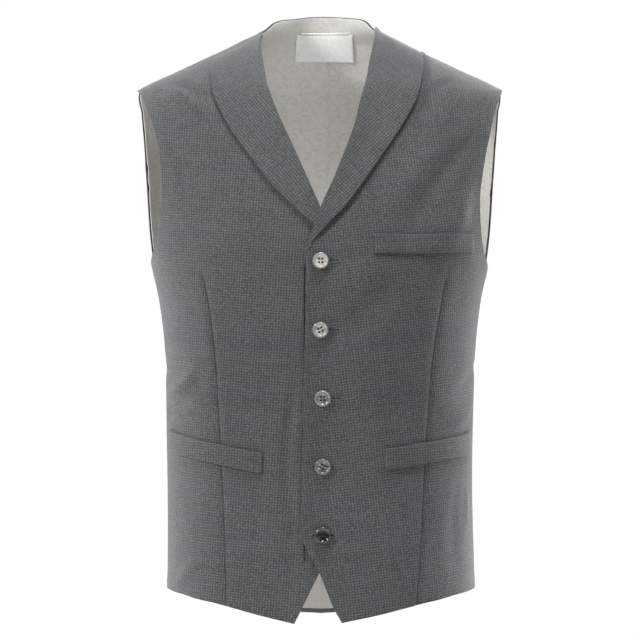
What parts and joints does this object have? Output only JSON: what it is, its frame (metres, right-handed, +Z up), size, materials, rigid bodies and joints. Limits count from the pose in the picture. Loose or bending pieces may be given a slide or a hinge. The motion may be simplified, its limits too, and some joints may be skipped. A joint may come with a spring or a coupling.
{
  "type": "suit waistcoat",
  "caption": "Sleeveless single-breasted suit waistcoat with a shawl lapel, welt pockets and a satin back, filled out to its worn form with open neck, armholes and hem.",
  "frame": {"origin": "midway between the two points where the shoulder seams meet the neck, where the garment lies on the wearer's shoulders", "axes": "+Z up, the front faces -Y, +X to the wearer's left"},
  "size_m": [0.3441, 0.2353, 0.5745],
  "materials": {
    "suiting": "matt grey worsted with a fine light overcheck of a few millimetres",
    "back_satin": "dark grey satin-faced back cloth",
    "lining": "ivory satin lining with a faint woven scroll",
    "label": "plain white satin ribbon",
    "horn": "mottled grey and ivory imitation horn, polished",
    "thread": "grey sewing thread"
  },
  "bodies": {
    "root": {"front_left": "suiting", "shawl_left": "suiting", "back_left": "back_satin", "lining_back_left": "lining", "front_right": "suiting", "shawl_right": "suiting", "back_right": "back_satin", "lining_back_right": "lining", "welt_left": "suiting", "welt_right": "suiting", "chest_welt": "suiting", "label": "label", "hanger_loop": "lining", "button_1": "horn", "shank_1": "thread", "button_2": "horn", "shank_2": "thread", "button_3": "horn", "shank_3": "thread", "button_4": "horn", "shank_4": "thread", "button_5": "horn", "shank_5": "thread"}
  },
  "joints": []
}
